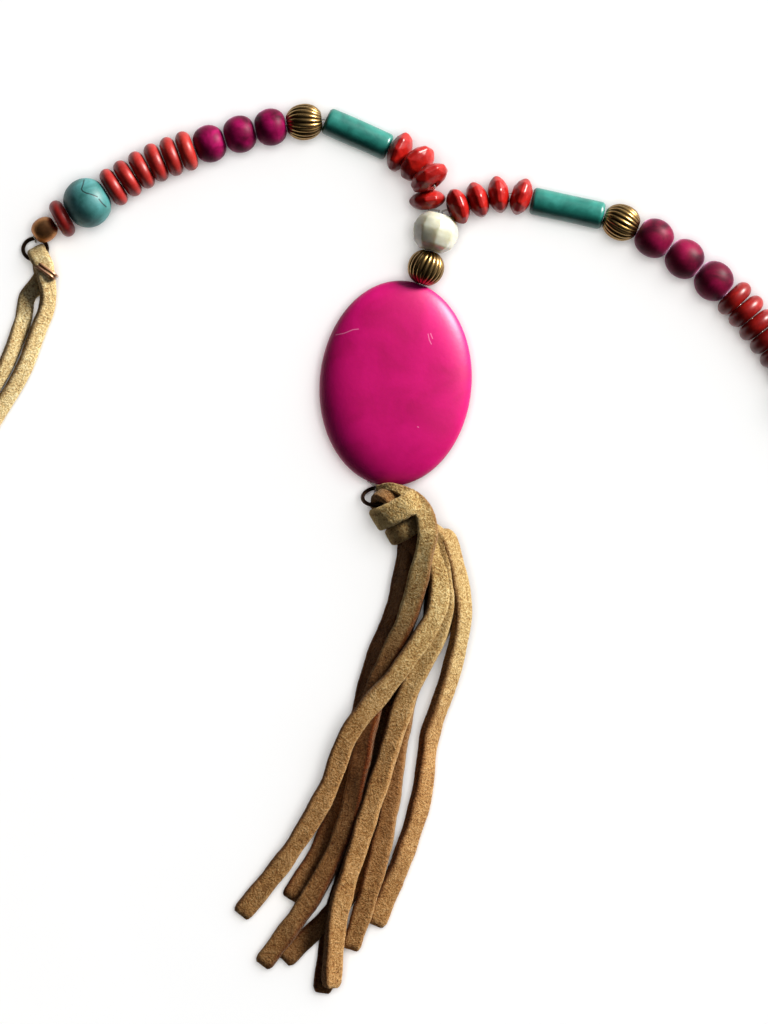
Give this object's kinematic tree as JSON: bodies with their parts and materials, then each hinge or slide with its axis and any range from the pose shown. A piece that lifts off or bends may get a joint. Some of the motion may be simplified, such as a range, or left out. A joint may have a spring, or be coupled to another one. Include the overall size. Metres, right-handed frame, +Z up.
{
  "type": "necklace",
  "caption": "tassel necklace of drilled stone beads with an oval pendant and a long suede tassel, closed behind the neck by a doubled suede lace, lying flat",
  "frame": {"origin": "centre of the foot of the box round the beads, the drop and the tassel, on the surface they lie on", "axes": "+X to the wearer's left string as seen from above, -Y along the drop towards the tassel's ends, +Z up from the surface"},
  "size_m": [0.2072, 0.2838, 0.0115],
  "materials": {
    "coral": "polished dyed coral",
    "magenta_stone": "polished dyed stone",
    "turquoise": "polished, with dark veins",
    "antique_gold": "antiqued ridges, worn bright",
    "polished_gold": "polished",
    "milky_stone": "polished facets",
    "bronze_wire": "dark bronze",
    "nylon": "clear nylon thread",
    "suede": "brushed suede"
  },
  "bodies": {
    "root": {"coral_rondelle_left_1": "coral", "coral_rondelle_left_2": "coral", "coral_rondelle_left_3": "coral", "coral_rondelle_left_4": "coral", "turquoise_tube_left": "turquoise", "gold_bead_left": "antique_gold", "magenta_bead_left_1": "magenta_stone", "magenta_bead_left_2": "magenta_stone", "magenta_bead_left_3": "magenta_stone", "coral_disc_left_1": "coral", "coral_disc_left_2": "coral", "coral_disc_left_3": "coral", "coral_disc_left_4": "coral", "coral_disc_left_5": "coral", "coral_disc_left_6": "coral", "turquoise_round_left": "turquoise", "coral_disc_left_7": "coral", "end_bead_left": "polished_gold", "coral_rondelle_right_1": "coral", "coral_rondelle_right_2": "coral", "coral_rondelle_right_3": "coral", "coral_rondelle_right_4": "coral", "turquoise_tube_right": "turquoise", "gold_bead_right": "antique_gold", "magenta_bead_right_1": "magenta_stone", "magenta_bead_right_2": "magenta_stone", "magenta_bead_right_3": "magenta_stone", "coral_disc_right_1": "coral", "coral_disc_right_2": "coral", "coral_disc_right_3": "coral", "coral_disc_right_4": "coral", "coral_disc_right_5": "coral", "coral_disc_right_6": "coral", "turquoise_round_right": "turquoise", "coral_disc_right_7": "coral", "end_bead_right": "polished_gold", "white_rondelle": "milky_stone", "gold_bead_drop": "antique_gold", "oval_pendant": "magenta_stone", "tassel_ring": "bronze_wire", "tassel": "suede", "thread_left": "nylon", "thread_right": "nylon", "end_ring_left": "bronze_wire", "end_ring_right": "bronze_wire", "lace_crimp_left": "polished_gold", "lace_crimp_right": "polished_gold", "lace_inner": "suede", "lace_outer": "suede"}
  },
  "joints": []
}
